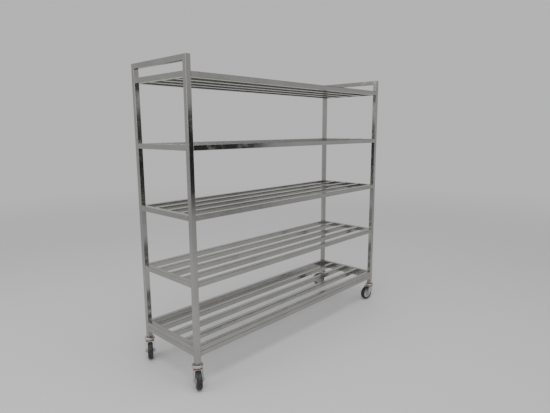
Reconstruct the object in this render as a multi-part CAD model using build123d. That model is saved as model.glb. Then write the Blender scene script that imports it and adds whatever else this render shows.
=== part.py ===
"""Sheet pan rack: a welded square-tube frame with five slatted shelves on four swivel casters.

Lengths are in millimetres. X runs along the shelves, Y from the front to the rear and Z up.
The origin is on the floor, under the middle of the frame.
"""

from build123d import *
import os

# Frame
rack_length = 1829.0  # outside of the posts, along the shelves
rack_depth = 525.0  # outside of the posts, front to rear
tube_size = 30.0
tube_wall = 1.5
tube_corner = 2.5  # outside corner radius of the drawn tube
shelf_count = 5
shelf_pitch = 368.0  # from one shelf's top to the next
slat_count = 3  # tubes between the front and rear rails of a shelf
leg_length = 45.0  # post left below the base rails
finger_gap = 50.0  # between the top shelf and a handle

# Casters
caster_height = 127.0  # floor to the end of a post
caster_trail = 36.0  # swivel axis to axle, level
wheel_diameter = 100.0
tread_width = 32.0
tread_shoulder = 5.0
tyre_depth = 13.0  # tread to rim
rim_width = 26.0
rim_wall = 4.0
web_thickness = 10.0
hub_barrel_diameter = 22.0
fork_width = 54.0  # outside of the arms
fork_wall = 3.0
fork_bend = 5.0  # outside radius where an arm leaves the crown
fork_boss_radius = 12.0  # round end of an arm, about the axle
crown_rear = 30.0  # how far the crown reaches over the wheel
crown_side_depth = 12.0  # depth of the crown's side before an arm tapers
crown_over_tread = 4.0  # space between the tread and the crown
race_height = 3.5  # raised ball race on top of the crown
head_diameter = 64.0
head_wall = 3.0
head_edge = 5.0  # rounding of the head's top edge
head_skirt = 13.0  # post end to the lower edge of the head
head_boss_diameter = 22.0
stem_diameter = 12.0
stem_length = 26.0  # reach of the stem into the post
pin_nut_diameter = 20.0
pin_nut_height = 6.5
plug_height = 30.0
plug_corner = 1.5
seal_overlap = 4.0  # reach of the dust seal into the head
axle_diameter = 8.0
axle_hex = 13.0  # across the flats of the bolt head and nut
axle_head_height = 5.3
axle_nut_height = 6.8
axle_thread_end = 2.0  # thread past the nut
sleeve_diameter = 12.0  # bush that the wheel turns on
edge_break = 1.0

# Clearances
running_fit = 0.08  # radial, a shaft in its bore
thread_fit = 0.05  # radial, a thread in its nut or plug
bolt_fit = 0.15  # radial, the axle bolt in the fork arms
swivel_gap = 0.4  # between faces that turn past each other
wheel_side_gap = 0.5  # each end of the hub, to the fork

# The way each caster points at rest: from its post to its wheel, in degrees from +X
caster_headings = {"front_left": 240.0, "rear_left": 240.0, "front_right": 170.0, "rear_right": 135.0}

post_x = (rack_length - tube_size) / 2
post_y = (rack_depth - tube_size) / 2
ends = {"left": -1, "right": 1}
sides = {"front": -1, "rear": 1}
post_places = {f"{side}_{end}": (ends[end] * post_x, sides[side] * post_y) for side in sides for end in ends}

base_rail_z = caster_height + leg_length + tube_size / 2
bottom_shelf_z = base_rail_z + tube_size
shelf_levels = [bottom_shelf_z + (shelf_count - number) * shelf_pitch for number in range(1, shelf_count + 1)]
rack_top = shelf_levels[0] + tube_size / 2 + finger_gap + tube_size

wheel_radius = wheel_diameter / 2
rim_radius = wheel_radius - tyre_depth
crown_bottom = wheel_diameter + crown_over_tread
crown_top = crown_bottom + fork_wall
race_radius = fork_width / 2
stem_radius = stem_diameter / 2
head_radius = head_diameter / 2
fork_inside = fork_width - 2 * fork_wall


def tube(length):
    """A square tube standing on the XY plane."""
    inside = tube_size - 2 * tube_wall
    section = RectangleRounded(tube_size, tube_size, tube_corner) - Rectangle(inside, inside)
    return extrude(section, amount=length)


def tube_along_x(length, y, z):
    """A tube level with the floor, centred on X = 0."""
    return Plane(origin=(-length / 2, y, z), x_dir=(0, 1, 0), z_dir=(1, 0, 0)) * tube(length)


def tube_along_y(length, x, z):
    """A tube level with the floor, centred on Y = 0."""
    return Plane(origin=(x, -length / 2, z), x_dir=(1, 0, 0), z_dir=(0, 1, 0)) * tube(length)


def mitre_wedge(x, side, above):
    """The half of a top corner above or below its 45 degree mitre."""
    outer = side * rack_depth / 2
    inner = outer - side * tube_size
    waste_corner = (inner, rack_top) if above else (outer, rack_top - tube_size)
    triangle = make_face(Polyline((outer, rack_top), waste_corner, (inner, rack_top - tube_size), close=True))
    return Pos(x, 0, 0) * extrude(Plane.YZ * triangle, amount=tube_size, both=True)


def post(x, side):
    """An upright, mitred at the top where the handle meets it."""
    upright = Pos(x, side * post_y, caster_height) * tube(rack_top - caster_height)
    return upright - mitre_wedge(x, side, above=True)


def handle(x):
    """The bar that closes an end frame at the top, mitred at both ends."""
    bar = tube_along_y(rack_depth, x, rack_top - tube_size / 2)
    for side in sides.values():
        bar -= mitre_wedge(x, side, above=False)
    return bar


def slats(z):
    """The tubes of a shelf between its front and rear rails."""
    pitch = 2 * post_y / (slat_count + 1)
    rows = [-post_y + pitch * (row + 1) for row in range(slat_count)]
    return [tube_along_x(rack_length - 2 * tube_size, y, z) for y in rows]


def leg_plug():
    """The square plug in the lower end of a post that the caster's stem screws into."""
    inside = tube_size - 2 * tube_wall
    section = RectangleRounded(inside, inside, plug_corner) - Circle(stem_radius + thread_fit)
    return Pos(0, 0, caster_height) * extrude(section, amount=plug_height)


def half_turned(profile):
    """A profile of radius and height turned about the Z axis."""
    return revolve(Plane.XZ * make_face(profile), axis=Axis.Z)


def caster_stem():
    """Stem, pressed head and king pin in one, as they are riveted together."""
    shoulder = head_radius - head_edge
    inner_radius = head_radius - head_wall
    head_underside = caster_height - head_wall
    boss_radius = head_boss_diameter / 2
    boss_bottom = crown_top + race_height + swivel_gap
    nut_top = crown_bottom - swivel_gap
    nut_radius = pin_nut_diameter / 2
    skirt_bottom = caster_height - head_skirt
    stem_top = caster_height + stem_length
    with BuildLine() as outline:
        Polyline(
            (0, stem_top),
            (stem_radius - edge_break, stem_top),
            (stem_radius, stem_top - edge_break),
            (stem_radius, caster_height),
            (shoulder, caster_height),
        )
        RadiusArc((shoulder, caster_height), (head_radius, caster_height - head_edge), head_edge)
        Polyline(
            (head_radius, caster_height - head_edge),
            (head_radius, skirt_bottom),
            (inner_radius, skirt_bottom),
            (inner_radius, caster_height - head_edge),
        )
        RadiusArc((inner_radius, caster_height - head_edge), (shoulder, head_underside), -(head_edge - head_wall))
        Polyline(
            (shoulder, head_underside),
            (boss_radius, head_underside),
            (boss_radius, boss_bottom),
            (stem_radius, boss_bottom),
            (stem_radius, nut_top),
            (nut_radius, nut_top),
            (nut_radius, nut_top - pin_nut_height),
            (0, nut_top - pin_nut_height),
            (0, stem_top),
        )
    return half_turned(outline.line)


def caster_seal():
    """The dust seal round the ball race, held in the head's skirt."""
    bottom = crown_top + swivel_gap
    height = caster_height - head_skirt + seal_overlap - bottom
    outer = head_radius - head_wall
    ring = Circle(outer) - Circle(race_radius + 2 * swivel_gap)
    return Pos(0, 0, bottom) * extrude(ring, amount=height)


def caster_fork():
    """The pressed yoke: a crown with a raised ball race and two arms that taper to the axle."""
    crown_sides = crown_bottom - crown_side_depth
    axle_boss = Pos(caster_trail, wheel_radius) * Circle(fork_boss_radius)
    crown_side = make_face(
        Polyline(
            (-race_radius, crown_top),
            (crown_rear, crown_top),
            (crown_rear, crown_sides),
            (-race_radius, crown_sides),
            close=True,
        )
    )
    outline = make_hull(crown_side.edges() + axle_boss.edges())
    body = extrude(Plane.XZ * outline, amount=fork_width / 2, both=True)
    body = fillet(body.faces().sort_by(Axis.Z)[-1].edges().filter_by(Axis.X), fork_bend)

    reach = 2 * (crown_rear + wheel_radius)
    space = Pos(0, 0, crown_bottom / 2) * Box(reach, fork_inside, crown_bottom)
    body -= fillet(space.faces().sort_by(Axis.Z)[-1].edges().filter_by(Axis.X), fork_bend - fork_wall)

    body += Pos(0, 0, crown_top) * extrude(Circle(race_radius), amount=race_height)
    plan = Circle(race_radius) + Pos(reach / 2, 0) * Rectangle(reach, fork_width)
    body = body & extrude(plan, amount=caster_height)
    body -= extrude(Circle(stem_radius + running_fit), amount=caster_height)
    axle_hole = Circle(axle_diameter / 2 + bolt_fit)
    return body - extrude(Plane.XZ * Pos(caster_trail, wheel_radius) * axle_hole, amount=fork_width, both=True)


def caster_axle():
    """Axle bolt, its nut and the bush clamped between the fork arms."""
    half_fork = fork_width / 2
    shank_end = half_fork + axle_nut_height + axle_thread_end
    bolt_radius = axle_diameter / 2
    hexagon = RegularPolygon(radius=axle_hex / 2, side_count=6, major_radius=False)
    bolt = Pos(0, 0, -half_fork) * extrude(Circle(bolt_radius), amount=half_fork + shank_end)
    bolt += Pos(0, 0, -half_fork - axle_head_height) * extrude(hexagon, amount=axle_head_height)
    nut = Pos(0, 0, half_fork) * extrude(hexagon - Circle(bolt_radius + thread_fit), amount=axle_nut_height)
    bush = Circle(sleeve_diameter / 2) - Circle(bolt_radius + thread_fit)
    bush = Pos(0, 0, -fork_inside / 2) * extrude(bush, amount=fork_inside)
    return [axle_place() * piece for piece in (bolt, nut, bush)]


def axle_place():
    """Where the axle lies: its Z axis is the axle, level across the fork."""
    return Plane(origin=(caster_trail, 0, wheel_radius), x_dir=(1, 0, 0), z_dir=(0, 1, 0))


def wheel_hub():
    """The moulded wheel centre: a barrel, a dished web and a rim."""
    bore = sleeve_diameter / 2 + running_fit
    half_barrel = fork_inside / 2 - wheel_side_gap
    barrel = hub_barrel_diameter / 2
    half_web = web_thickness / 2
    half_rim = rim_width / 2
    rim_inside = rim_radius - rim_wall
    half = [
        (bore, half_barrel),
        (barrel, half_barrel),
        (barrel + edge_break, half_web + edge_break),
        (rim_inside - edge_break, half_web),
        (rim_inside, half_rim),
        (rim_radius, half_rim),
    ]
    other = [(radius, -height) for radius, height in reversed(half)]
    return axle_place() * half_turned(Polyline(*half, *other, close=True))


def wheel_tyre():
    """The rubber tread, wider than the rim, with rounded shoulders."""
    half_tread = tread_width / 2
    half_rim = rim_width / 2
    flare = half_tread - half_rim
    shoulder = wheel_radius - tread_shoulder
    with BuildLine() as outline:
        Polyline((rim_radius, -half_rim), (rim_radius + flare, -half_tread), (shoulder, -half_tread))
        RadiusArc((shoulder, -half_tread), (wheel_radius, tread_shoulder - half_tread), -tread_shoulder)
        Line((wheel_radius, tread_shoulder - half_tread), (wheel_radius, half_tread - tread_shoulder))
        RadiusArc((wheel_radius, half_tread - tread_shoulder), (shoulder, half_tread), -tread_shoulder)
        Polyline(
            (shoulder, half_tread),
            (rim_radius + flare, half_tread),
            (rim_radius, half_rim),
            (rim_radius, -half_rim),
        )
    return axle_place() * half_turned(outline.line)


def write(node, pieces):
    """Write one node: a solid, or a group of separate solids."""
    shape = Compound(children=list(pieces)) if isinstance(pieces, list) else pieces
    export_step(shape, f"parts/{node}.step")


def write_frame():
    """Posts, handles, shelves and base rails."""
    for place, (x, y) in post_places.items():
        write(f"post_{place}", post(x, 1 if y > 0 else -1))
    for end, direction in ends.items():
        write(f"handle_{end}", handle(direction * post_x))
        write(f"base_rail_{end}", tube_along_y(rack_depth - 2 * tube_size, direction * post_x, base_rail_z))
    for side, direction in sides.items():
        write(f"base_rail_{side}", tube_along_x(rack_length - 2 * tube_size, direction * post_y, base_rail_z))
    for number, level in enumerate(shelf_levels, start=1):
        shelf = f"shelf_{number}"
        for side, direction in sides.items():
            write(f"{shelf}_rail_{side}", tube_along_x(rack_length - 2 * tube_size, direction * post_y, level))
        for end, direction in ends.items():
            write(f"{shelf}_rail_{end}", tube_along_y(rack_depth - 2 * tube_size, direction * post_x, level))
        write(f"{shelf}_slats", slats(level))
    write("leg_plugs", [Pos(x, y, 0) * leg_plug() for x, y in post_places.values()])


def write_casters():
    """The same caster at each post, turned to its own heading."""
    pieces = {
        "stem": caster_stem(),
        "seal": caster_seal(),
        "fork": caster_fork(),
        "axle": caster_axle(),
        "hub": wheel_hub(),
        "tyre": wheel_tyre(),
    }
    for place, (x, y) in post_places.items():
        location = Pos(x, y, 0) * Rot(0, 0, caster_headings[place])
        for name, piece in pieces.items():
            moved = [location * solid for solid in piece] if isinstance(piece, list) else location * piece
            write(f"caster_{place}_{name}", moved)


os.makedirs("parts", exist_ok=True)
write_frame()
write_casters()
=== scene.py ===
"""Sheet pan rack: polished square tube, five slatted shelves and four swivel casters."""

from __future__ import annotations

import logging
import math
from dataclasses import dataclass
from enum import Enum

import bmesh
import bpy
from mathutils import Matrix, Vector


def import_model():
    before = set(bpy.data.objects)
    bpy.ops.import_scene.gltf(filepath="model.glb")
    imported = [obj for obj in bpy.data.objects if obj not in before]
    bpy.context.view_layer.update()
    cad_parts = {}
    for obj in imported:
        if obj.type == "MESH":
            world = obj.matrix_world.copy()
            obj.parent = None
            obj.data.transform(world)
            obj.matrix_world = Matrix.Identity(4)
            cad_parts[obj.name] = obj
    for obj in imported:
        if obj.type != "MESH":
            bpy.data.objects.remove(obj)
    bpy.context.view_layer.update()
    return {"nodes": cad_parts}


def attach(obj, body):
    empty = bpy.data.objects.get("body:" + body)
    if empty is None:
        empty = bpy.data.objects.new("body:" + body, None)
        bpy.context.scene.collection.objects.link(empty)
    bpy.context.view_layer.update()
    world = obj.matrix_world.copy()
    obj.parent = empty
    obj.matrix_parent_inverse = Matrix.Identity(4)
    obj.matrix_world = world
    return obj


LOG = logging.getLogger("rack")

Colour = tuple[float, float, float]
Place = tuple[float, float, float]
Socket = bpy.types.NodeSocket


class Run(Enum):
    """The way a tube runs, and so the way its drawn grain lies."""

    ALONG_X = 0
    ALONG_Y = 1
    ALONG_Z = 2


class NodeGraph:
    """A small helper that adds nodes to a material, world or group tree."""

    def __init__(self, tree: bpy.types.NodeTree) -> None:
        """Keep the tree that nodes are added to."""
        self.tree = tree

    def add(self, kind: str, **settings: object) -> bpy.types.Node:
        """Add one node.

        Args:
            kind: Blender's name for the node type.
            **settings: properties of the node, such as its operation.

        Returns:
            The new node.
        """
        node = self.tree.nodes.new(kind)
        for name, value in settings.items():
            setattr(node, name, value)
        return node

    def link(self, source: Socket, target: Socket) -> None:
        """Join an output to an input."""
        self.tree.links.new(source, target)

    def feed(self, node: bpy.types.Node, values: dict[str | int, object]) -> bpy.types.Node:
        """Set or link the inputs of a node.

        Args:
            node: the node to feed.
            values: input name or index to a constant or to an output socket.

        Returns:
            The same node.
        """
        for name, value in values.items():
            if isinstance(value, Socket):
                self.link(value, node.inputs[name])
            else:
                node.inputs[name].default_value = value
        return node

    def math(self, operation: str, first: object, second: object = 0.0, third: object = 0.0) -> Socket:
        """Add a Math node.

        Args:
            operation: the node's operation.
            first: the first input, a number or a socket.
            second: the second input.
            third: the third input, for the operations that have one.

        Returns:
            The result.
        """
        node = self.add("ShaderNodeMath", operation=operation)
        self.feed(node, {0: first, 1: second, 2: third})
        return node.outputs[0]

    def noise(self, vector: object, scale: float, detail: float = 2.0, roughness: float = 0.5) -> Socket:
        """Add a Noise Texture.

        Args:
            vector: where the noise is read.
            scale: how fine it is.
            detail: how many finer layers it has.
            roughness: how strong those layers are.

        Returns:
            The noise's value, from 0 to 1.
        """
        node = self.add("ShaderNodeTexNoise")
        self.feed(node, {"Vector": vector, "Scale": scale, "Detail": detail, "Roughness": roughness})
        return node.outputs["Fac"]

    def spread(self, value: object, low: float, high: float) -> Socket:
        """Spread a stretch of values smoothly over 0 to 1, clamped.

        Args:
            value: the value to spread.
            low: what becomes 0.
            high: what becomes 1.

        Returns:
            The spread value.
        """
        node = self.add("ShaderNodeMapRange", interpolation_type="SMOOTHSTEP")
        self.feed(node, {"Value": value, 1: low, 2: high})
        return node.outputs["Result"]

    def bump(self, height: Socket, strength: float, distance: float) -> Socket:
        """Add a Bump node and return its normal."""
        node = self.add("ShaderNodeBump")
        self.feed(node, {"Strength": strength, "Distance": distance, "Height": height})
        return node.outputs[0]

    def mix(self, factor: object, first: object, second: object) -> Socket:
        """Add a colour Mix and return its result."""
        node = self.add("ShaderNodeMix", data_type="RGBA")
        self.feed(node, {0: factor, 6: first, 7: second})
        return node.outputs[2]


def rgba(colour: Colour) -> tuple[float, float, float, float]:
    """Give a colour its alpha of one."""
    return (*colour, 1.0)


class EffectGroup:
    """A shader node group shared by several finishes, built once."""

    name: str = ""
    inputs: dict[str, tuple[str, object]] = {}
    outputs: dict[str, str] = {}

    @classmethod
    def tree(cls) -> bpy.types.NodeTree:
        """Return the group, making it the first time.

        Returns:
            The node tree with its named sockets.
        """
        made = bpy.data.node_groups.get(cls.name)
        if made:
            return made
        made = bpy.data.node_groups.new(cls.name, "ShaderNodeTree")
        for label, (kind, value) in cls.inputs.items():
            socket = made.interface.new_socket(label, in_out="INPUT", socket_type=kind)
            socket.default_value = value
        for label, kind in cls.outputs.items():
            made.interface.new_socket(label, in_out="OUTPUT", socket_type=kind)
        graph = NodeGraph(made)
        cls.fill(graph, graph.add("NodeGroupInput"), graph.add("NodeGroupOutput"))
        return made

    @classmethod
    def fill(cls, graph: NodeGraph, given: bpy.types.Node, result: bpy.types.Node) -> None:
        """Build what is inside the group."""
        raise NotImplementedError

    @classmethod
    def place(cls, graph: NodeGraph, **values: object) -> bpy.types.Node:
        """Put the group in a material.

        Args:
            graph: the material's graph.
            **values: socket names, with underscores for spaces, and their values.

        Returns:
            The group node.
        """
        node = graph.add("ShaderNodeGroup", node_tree=cls.tree())
        return graph.feed(node, {name.replace("_", " "): value for name, value in values.items()})


class DrawnGrain(EffectGroup):
    """Fine lines along a tube and slow waves in its wall."""

    name = "Drawn grain"
    inputs = {"Run": ("NodeSocketVector", (1.0, 1.0, 1.0)), "Waves": ("NodeSocketFloat", 1.0)}
    outputs = {"Lines": "NodeSocketFloat", "Height": "NodeSocketFloat"}

    @classmethod
    def fill(cls, graph: NodeGraph, given: bpy.types.Node, result: bpy.types.Node) -> None:
        """Lines from stretched noise, waves from broad noise."""
        place = graph.add("ShaderNodeTexCoord").outputs["Object"]
        stretched = graph.add("ShaderNodeVectorMath", operation="MULTIPLY")
        graph.feed(stretched, {0: place, 1: given.outputs["Run"]})
        lines = graph.noise(stretched.outputs[0], 2400.0, 2.0, 0.6)
        broad = graph.noise(stretched.outputs[0], 420.0, 1.0, 0.5)
        both = graph.math("ADD", graph.math("MULTIPLY", lines, 0.6), graph.math("MULTIPLY", broad, 0.4))
        slow = graph.noise(place, 9.0, 1.0, 0.4)
        waves = graph.math("MULTIPLY", slow, given.outputs["Waves"])
        height = graph.math("MULTIPLY_ADD", both, 0.012, waves)
        graph.link(both, result.inputs["Lines"])
        graph.link(height, result.inputs["Height"])


class Handling(EffectGroup):
    """Smears, finger marks and dried cleaning film."""

    name = "Handling marks"
    inputs = {"Amount": ("NodeSocketFloat", 1.0), "Scale": ("NodeSocketFloat", 1.0)}
    outputs = {"Smear": "NodeSocketFloat", "Film": "NodeSocketFloat"}

    @classmethod
    def fill(cls, graph: NodeGraph, given: bpy.types.Node, result: bpy.types.Node) -> None:
        """Patches for the smears, slow clouds for the film."""
        place = graph.add("ShaderNodeTexCoord").outputs["Object"]
        scaled = graph.add("ShaderNodeVectorMath", operation="SCALE")
        graph.feed(scaled, {0: place, "Scale": given.outputs["Scale"]})
        patches = graph.noise(scaled.outputs[0], 17.0, 4.0, 0.62)
        smear = graph.spread(patches, 0.48, 0.72)
        cloud = graph.spread(graph.noise(scaled.outputs[0], 4.0, 3.0, 0.55), 0.3, 0.75)
        graph.link(graph.math("MULTIPLY", smear, given.outputs["Amount"]), result.inputs["Smear"])
        graph.link(graph.math("MULTIPLY", cloud, given.outputs["Amount"]), result.inputs["Film"])


class Speckle(EffectGroup):
    """Fine grain in a plated, moulded or rubber skin."""

    name = "Fine speckle"
    inputs = {"Scale": ("NodeSocketFloat", 900.0)}
    outputs = {"Grain": "NodeSocketFloat", "Patches": "NodeSocketFloat"}

    @classmethod
    def fill(cls, graph: NodeGraph, given: bpy.types.Node, result: bpy.types.Node) -> None:
        """Two sizes of noise."""
        place = graph.add("ShaderNodeTexCoord").outputs["Object"]
        scaled = graph.add("ShaderNodeVectorMath", operation="SCALE")
        graph.feed(scaled, {0: place, "Scale": given.outputs["Scale"]})
        graph.link(graph.noise(scaled.outputs[0], 1.0, 2.0, 0.6), result.inputs["Grain"])
        graph.link(graph.noise(place, 60.0, 3.0, 0.6), result.inputs["Patches"])


@dataclass(frozen=True)
class Finish:
    """A finish of the rack, from which one material is made."""

    name: str
    colour: Colour
    roughness: float

    def material(self) -> bpy.types.Material:
        """Return the finish's material, making it the first time.

        Returns:
            The material.
        """
        made = bpy.data.materials.get(self.name)
        if made:
            return made
        made = bpy.data.materials.new(self.name)
        made.use_nodes = True
        made.node_tree.nodes.clear()
        graph = NodeGraph(made.node_tree)
        shader = graph.add("ShaderNodeBsdfPrincipled")
        output = graph.add("ShaderNodeOutputMaterial")
        graph.link(shader.outputs[0], output.inputs["Surface"])
        self.dress(graph, shader)
        return made

    def dress(self, graph: NodeGraph, shader: bpy.types.Node) -> None:
        """Set and link the shader's inputs."""
        graph.feed(shader, {"Base Color": rgba(self.colour), "Roughness": self.roughness})

    def uneven(self, graph: NodeGraph, grain: Socket, spread: float) -> Socket:
        """Return the roughness, varied by a grain over a spread that is centred on it."""
        return graph.math("MULTIPLY_ADD", grain, spread, self.roughness - spread / 2)


@dataclass(frozen=True)
class PolishedTube(Finish):
    """Polished stainless tube with grain along its length."""

    run: Run = Run.ALONG_X
    grain_stretch: float = 0.004
    grain_roughness: float = 0.10
    smear_roughness: float = 0.14
    film_share: float = 0.5
    film_shade: float = 0.78

    def dress(self, graph: NodeGraph, shader: bpy.types.Node) -> None:
        """Metal with drawn lines, waves in the wall and handling marks."""
        along = [1.0, 1.0, 1.0]
        along[self.run.value] = self.grain_stretch
        grain = DrawnGrain.place(graph, Run=tuple(along), Waves=1.0)
        marks = Handling.place(graph, Amount=1.0, Scale=1.0)
        dull = tuple(channel * self.film_shade for channel in self.colour)
        film = graph.math("MULTIPLY", marks.outputs["Film"], self.film_share)
        colour = graph.mix(film, rgba(self.colour), rgba(dull))
        rough = self.uneven(graph, grain.outputs["Lines"], self.grain_roughness)
        rough = graph.math("MULTIPLY_ADD", marks.outputs["Smear"], self.smear_roughness, rough)
        normal = graph.bump(grain.outputs["Height"], strength=0.35, distance=0.002)
        graph.feed(shader, {"Base Color": colour, "Metallic": 1.0, "Roughness": rough, "Normal": normal})


@dataclass(frozen=True)
class ZincPlate(Finish):
    """Bright zinc plating on pressed or turned steel."""

    skin: float = 700.0
    grain_roughness: float = 0.18
    cast_shift: Colour = (1.06, 1.0, 0.86)

    def dress(self, graph: NodeGraph, shader: bpy.types.Node) -> None:
        """Metal with a fine crystal grain and a faint yellow cast in patches."""
        speckle = Speckle.place(graph, Scale=self.skin)
        cast = tuple(channel * shift for channel, shift in zip(self.colour, self.cast_shift))
        patches = graph.spread(speckle.outputs["Patches"], 0.4, 0.7)
        colour = graph.mix(patches, rgba(self.colour), rgba(cast))
        rough = self.uneven(graph, speckle.outputs["Grain"], self.grain_roughness)
        normal = graph.bump(speckle.outputs["Grain"], strength=0.25, distance=0.0003)
        graph.feed(shader, {"Base Color": colour, "Metallic": 1.0, "Roughness": rough, "Normal": normal})


@dataclass(frozen=True)
class WeldMetal(ZincPlate):
    """Weld metal left as it was laid, with a faint heat tint in patches."""


@dataclass(frozen=True)
class Moulded(Finish):
    """Moulded plastic or rubber with a fine skin and a little dust."""

    dust: Colour = (0.4, 0.39, 0.37)
    dust_share: float = 0.15
    skin: float = 900.0
    grain_roughness: float = 0.2

    def dress(self, graph: NodeGraph, shader: bpy.types.Node) -> None:
        """Plain colour broken by dust and by the skin's grain."""
        speckle = Speckle.place(graph, Scale=self.skin)
        share = graph.math("MULTIPLY", graph.spread(speckle.outputs["Patches"], 0.42, 0.75), self.dust_share)
        colour = graph.mix(share, rgba(self.colour), rgba(self.dust))
        rough = self.uneven(graph, speckle.outputs["Grain"], self.grain_roughness)
        normal = graph.bump(speckle.outputs["Grain"], strength=0.3, distance=0.0002)
        graph.feed(shader, {"Base Color": colour, "Roughness": rough, "Normal": normal})


STEEL: Colour = (0.4, 0.395, 0.38)
TUBE_FINISHES = {run: PolishedTube(f"Polished tube {run.name.lower()}", STEEL, 0.14, run) for run in Run}
PRESSING = ZincPlate("Zinc pressing", (0.5, 0.51, 0.5), 0.32)
BOLT = ZincPlate("Zinc bolt", (0.6, 0.6, 0.58), 0.25)
TYRE = Moulded("Tyre rubber", (0.018, 0.018, 0.02), 0.55)
WHEEL = Moulded("Wheel centre", (0.5, 0.5, 0.49), 0.4, dust=(0.3, 0.28, 0.25), dust_share=0.35)
WELD = WeldMetal("Weld metal", (0.34, 0.33, 0.3), 0.24)
SEAL = Moulded("Dust seal", (0.36, 0.07, 0.05), 0.42, dust_share=0.1)


CASTER_FINISHES = {
    "stem": PRESSING,
    "seal": SEAL,
    "fork": PRESSING,
    "axle": BOLT,
    "hub": WHEEL,
    "tyre": TYRE,
}


@dataclass(frozen=True)
class Lamp:
    """A soft area lamp that points at a target, with its power in watts."""

    name: str
    place: Place
    target: Place
    size: tuple[float, float]
    power: float

    def build(self) -> None:
        """Add the lamp to the scene."""
        data = bpy.data.lights.new(self.name, "AREA")
        data.shape = "RECTANGLE"
        data.size, data.size_y = self.size
        data.energy = self.power
        lamp = bpy.data.objects.new(self.name, data)
        lamp.location = self.place
        aim = Vector(self.target) - Vector(self.place)
        lamp.rotation_euler = aim.to_track_quat("-Z", "Y").to_euler()
        bpy.context.scene.collection.objects.link(lamp)


@dataclass(frozen=True)
class Card:
    """A dark card that only reflections show."""

    name: str
    place: Place
    size: tuple[float, float]
    facing: Place
    shade: Colour = (0.03, 0.03, 0.03)
    roughness: float = 0.9

    def build(self) -> None:
        """Stand the card in its place, hidden from the camera, from diffuse light and from shadows."""
        bpy.ops.mesh.primitive_plane_add(size=1.0)
        card = bpy.context.object
        card.name = self.name
        turn = Vector(self.facing).normalized().to_track_quat("Z", "Y").to_matrix().to_4x4()
        size = Matrix.Diagonal((*self.size, 1.0, 1.0))
        card.matrix_world = Matrix.Translation(self.place) @ turn @ size
        card.visible_camera = False
        card.visible_diffuse = False
        card.visible_shadow = False
        material = bpy.data.materials.new(self.name)
        material.use_nodes = True
        shader = material.node_tree.nodes["Principled BSDF"]
        values = {"Base Color": rgba(self.shade), "Roughness": self.roughness}
        NodeGraph(material.node_tree).feed(shader, values)
        card.data.materials.append(material)


LAMPS = (
    Lamp("Overhead lamp", (-0.6, -0.9, 3.6), (0.0, 0.0, 0.6), (3.2, 2.4), 60.0),
    Lamp("Side lamp", (-3.6, 1.2, 2.4), (0.0, 0.0, 0.9), (1.6, 2.2), 25.0),
)
CARDS = (
    Card("Low dark card", (2.6, -5.4, 0.9), (3.4, 1.8), (-0.4, 1.0, 0.0)),
    Card("Left dark card", (-4.6, 2.6, 0.9), (1.6, 1.4), (1.0, -0.6, 0.0)),
    Card("High dark card", (4.4, -1.0, 4.2), (5.0, 4.0), (-0.7, 0.15, -0.65)),
)


@dataclass
class Studio:
    """Camera, floor, backdrop, lamps and cards."""

    camera_place: Place = (-2.268, -2.1325, 1.411)
    camera_right: Place = (0.6845, -0.729, -0.0046)
    camera_down: Place = (-0.1274, -0.1133, -0.9854)
    camera_lens: float = 29.045
    sensor_width: float = 36.0
    view_distance: float = 200.0
    floor_radius: float = 30.0
    floor_sides: int = 96
    floor_colour: Colour = (0.74, 0.74, 0.74)
    floor_roughness: float = 0.6
    fade_start: float = 2.5
    fade_end: float = 9.0
    backdrop: Colour = (0.62, 0.62, 0.62)

    def build(self) -> None:
        """Set the camera first, then the stage and the light."""
        self.camera()
        self.world()
        self.floor()
        for thing in (*LAMPS, *CARDS):
            thing.build()

    def camera(self) -> None:
        """Place the camera by its own axes."""
        right = Vector(self.camera_right).normalized()
        back = right.cross(-Vector(self.camera_down)).normalized()
        up = back.cross(right)
        data = bpy.data.cameras.new("Camera")
        data.sensor_width = self.sensor_width
        data.lens = self.camera_lens
        data.clip_end = self.view_distance
        camera = bpy.data.objects.new("Camera", data)
        turn = Matrix((right, up, back)).transposed().to_4x4()
        camera.matrix_world = Matrix.Translation(self.camera_place) @ turn
        bpy.context.scene.collection.objects.link(camera)
        bpy.context.scene.camera = camera

    def world(self) -> None:
        """Even light from all round, in the backdrop's colour."""
        world = bpy.data.worlds.new("Studio")
        world.use_nodes = True
        graph = NodeGraph(world.node_tree)
        shader = world.node_tree.nodes["Background"]
        graph.feed(shader, {"Color": rgba(self.backdrop), "Strength": 1.0})
        bpy.context.scene.world = world

    def floor(self) -> None:
        """Lay a round floor that fades into the backdrop's colour."""
        bpy.ops.mesh.primitive_circle_add(
            vertices=self.floor_sides, radius=self.floor_radius, fill_type="NGON"
        )
        floor = bpy.context.object
        floor.name = "Floor"
        floor.data.materials.append(self.floor_material())

    def floor_material(self) -> bpy.types.Material:
        """Mix a lit floor near the middle with plain backdrop further out.

        Returns:
            The floor's material.
        """
        material = bpy.data.materials.new("Studio floor")
        material.use_nodes = True
        material.node_tree.nodes.clear()
        graph = NodeGraph(material.node_tree)
        place = graph.add("ShaderNodeTexCoord").outputs["Object"]
        length = graph.add("ShaderNodeVectorMath", operation="LENGTH")
        graph.feed(length, {0: place})
        far = graph.spread(length.outputs["Value"], self.fade_start, self.fade_end)
        near = graph.add("ShaderNodeBsdfPrincipled")
        graph.feed(near, {"Base Color": rgba(self.floor_colour), "Roughness": self.floor_roughness})
        glow = graph.add("ShaderNodeEmission")
        graph.feed(glow, {"Color": rgba(self.backdrop), "Strength": 1.0})
        both = graph.add("ShaderNodeMixShader")
        graph.feed(both, {0: far, 1: near.outputs[0], 2: glow.outputs[0]})
        output = graph.add("ShaderNodeOutputMaterial")
        graph.link(both.outputs[0], output.inputs["Surface"])
        return material


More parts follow.
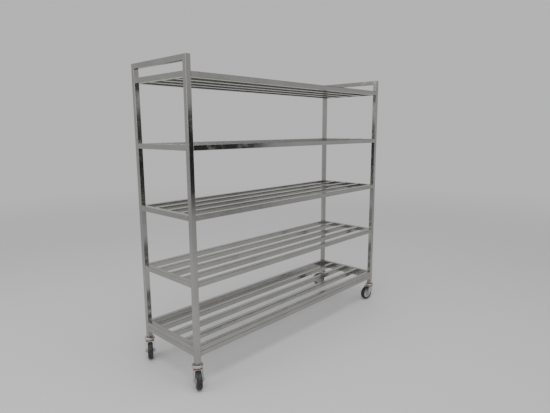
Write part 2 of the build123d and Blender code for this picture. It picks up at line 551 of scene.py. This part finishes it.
@dataclass(frozen=True)
class Rack:
    """The rack's CAD nodes, dressed by what each one is."""

    nodes: dict[str, bpy.types.Object]

    def dress(self) -> None:
        """Give every node its finish."""
        for node, thing in self.nodes.items():
            thing.data.materials.clear()
            thing.data.materials.append(self.finish(node).material())

    def finish(self, node: str) -> Finish:
        """Choose a finish from a node's name.

        Args:
            node: the node's name.

        Returns:
            The finish of a caster's piece, or of a tube with its grain along it.
        """
        if node.startswith("caster"):
            return CASTER_FINISHES[node.rsplit("_", 1)[1]]
        if node.startswith("post"):
            return TUBE_FINISHES[Run.ALONG_Z]
        if node.endswith(("left", "right")):
            return TUBE_FINISHES[Run.ALONG_Y]
        return TUBE_FINISHES[Run.ALONG_X]


@dataclass
class Welds:
    """The beads round the ends of the level tubes, where they meet a post or a rail."""

    radius: float = 0.0017
    sunk: float = 0.0008
    corner: float = 0.0025
    ripple: float = 0.12
    ripples: int = 24
    steps_per_ripple: int = 4
    sides: int = 6
    slats_per_shelf: int = 3

    def build(self, nodes: dict[str, bpy.types.Object]) -> bpy.types.Object:
        """Make every bead as one piece that rides on the frame.

        Args:
            nodes: the frame's nodes by name.

        Returns:
            The finished piece.
        """
        form = bmesh.new()
        for node, thing in nodes.items():
            if "_rail_" in node:
                self.both_ends(form, *self.box(thing))
            elif node.endswith("_slats"):
                for low, high in self.slat_boxes(*self.box(thing)):
                    self.both_ends(form, low, high)
        bmesh.ops.recalc_face_normals(form, faces=form.faces)
        mesh = bpy.data.meshes.new("frame_welds")
        form.to_mesh(mesh)
        form.free()
        mesh.shade_smooth()
        mesh.materials.append(WELD.material())
        piece = bpy.data.objects.new("frame_welds", mesh)
        bpy.context.scene.collection.objects.link(piece)
        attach(piece, "frame")
        return piece

    def box(self, thing: bpy.types.Object) -> tuple[Vector, Vector]:
        """Return the low and high corners of a node."""
        corners = [thing.matrix_world @ Vector(corner) for corner in thing.bound_box]
        low = Vector(min(corner[axis] for corner in corners) for axis in range(3))
        high = Vector(max(corner[axis] for corner in corners) for axis in range(3))
        return low, high

    def slat_boxes(self, low: Vector, high: Vector) -> list[tuple[Vector, Vector]]:
        """Split the box of a shelf's slats into one box for each tube."""
        width = high.z - low.z
        pitch = (high.y - low.y - width) / (self.slats_per_shelf - 1)
        starts = [low.y + pitch * row for row in range(self.slats_per_shelf)]
        return [(Vector((low.x, y, low.z)), Vector((high.x, y + width, high.z))) for y in starts]

    def both_ends(self, form: bmesh.types.BMesh, low: Vector, high: Vector) -> None:
        """Lay a bead round both ends of one tube.

        Args:
            form: the mesh that takes the beads.
            low: the low corner of the tube's box.
            high: the high corner of the tube's box.
        """
        size = high - low
        along = max(range(3), key=lambda axis: size[axis])
        across, up = [axis for axis in range(3) if axis != along]
        centre = (low + high) / 2
        half = size[up] / 2 - self.sunk
        for end in (low[along], high[along]):
            centre[along] = end
            self.bead(form, centre, along, across, up, half)

    def bead(
        self, form: bmesh.types.BMesh, centre: Vector, along: int, across: int, up: int, half: float
    ) -> None:
        """Sweep a rippled circle round a square with rounded corners.

        Args:
            form: the mesh that takes the bead.
            centre: the middle of the tube's end.
            along: the axis that the tube runs on.
            across: one axis of the tube's section.
            up: the other axis of the section.
            half: from the tube's middle to the bead's middle line.
        """
        steps = self.ripples * self.steps_per_ripple
        inner = half - self.corner
        rings = []
        for step in range(steps):
            angle = 2 * math.pi * step / steps
            way = Vector((math.cos(angle), math.sin(angle)))
            reach = half / max(abs(way.x), abs(way.y))
            core = Vector(max(-inner, min(inner, part * reach)) for part in way)
            out = (way * reach - core).normalized()
            middle = core + out * self.corner
            swell = self.radius * (1 + self.ripple * math.sin(2 * math.pi * step / self.steps_per_ripple))
            ring = []
            for side in range(self.sides):
                turn = 2 * math.pi * side / self.sides
                place = centre.copy()
                place[across] += middle.x + out.x * swell * math.cos(turn)
                place[up] += middle.y + out.y * swell * math.cos(turn)
                place[along] += swell * math.sin(turn)
                ring.append(form.verts.new(place))
            rings.append(ring)
        for ring, following in zip(rings, rings[1:] + rings[:1]):
            for side in range(self.sides):
                other = (side + 1) % self.sides
                form.faces.new((ring[side], ring[other], following[other], following[side]))


def main() -> None:
    """Build the studio, dress the rack and lay its welds."""
    logging.basicConfig(level=logging.INFO, format="%(message)s")
    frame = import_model()
    Studio().build()
    Rack(frame["nodes"]).dress()
    LOG.info("rack: %d nodes dressed", len(frame["nodes"]))
    welds = Welds().build(frame["nodes"])
    LOG.info("%s: %d faces", welds.name, len(welds.data.polygons))


if __name__ == "__main__":
    main()
